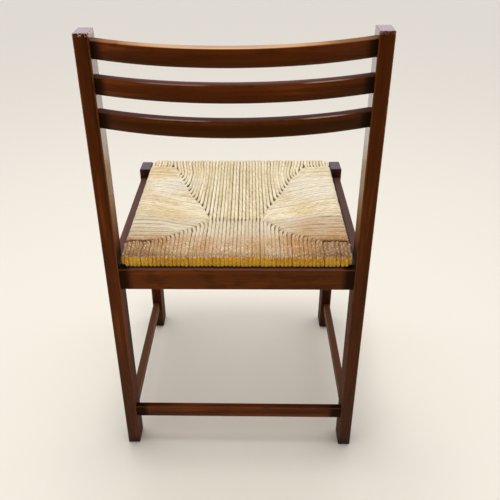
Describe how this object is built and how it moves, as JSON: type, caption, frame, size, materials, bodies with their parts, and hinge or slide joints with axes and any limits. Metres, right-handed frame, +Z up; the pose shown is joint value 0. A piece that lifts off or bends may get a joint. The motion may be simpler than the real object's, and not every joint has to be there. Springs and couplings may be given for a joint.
{
  "type": "rush seat chair",
  "caption": "Dark stained wooden side chair with straight raked rear posts, bowed back slats, low stretchers and a woven rush seat on a frame that lifts out",
  "frame": {"origin": "bottom centre of the bounding box, on the floor under the middle of the chair", "axes": "+Z up, the sitter faces -Y, the sitter's left is +X"},
  "size_m": [0.445, 0.5102, 0.8017],
  "materials": {
    "stained_wood": "dark red-brown stain under satin varnish",
    "bare_wood": "bare beech",
    "rush": "twisted natural rush, worn"
  },
  "bodies": {
    "frame": {"rear_post_left": "stained_wood", "rear_post_right": "stained_wood", "front_leg_left": "stained_wood", "front_leg_right": "stained_wood", "top_slat": "stained_wood", "middle_slat": "stained_wood", "lower_slat": "stained_wood", "rear_rail": "stained_wood", "front_rail": "stained_wood", "side_rail_left": "stained_wood", "side_rail_right": "stained_wood", "rear_stretcher": "stained_wood", "side_stretcher_left": "stained_wood", "side_stretcher_right": "stained_wood", "rear_rail_dowels": "bare_wood", "front_rail_dowels": "bare_wood", "side_rail_dowels_left": "bare_wood", "side_rail_dowels_right": "bare_wood"},
    "seat": {"rush_weave": "rush", "seat_bar_front": "bare_wood", "seat_bar_rear": "bare_wood", "seat_bar_left": "bare_wood", "seat_bar_right": "bare_wood", "seat_bar_dowels_left": "bare_wood", "seat_bar_dowels_right": "bare_wood"}
  },
  "joints": [
    {"name": "seat_lift", "type": "slide", "parent": "frame", "child": "seat", "axis": [0, 0, 1], "range_m": [0, 0.1]}
  ]
}
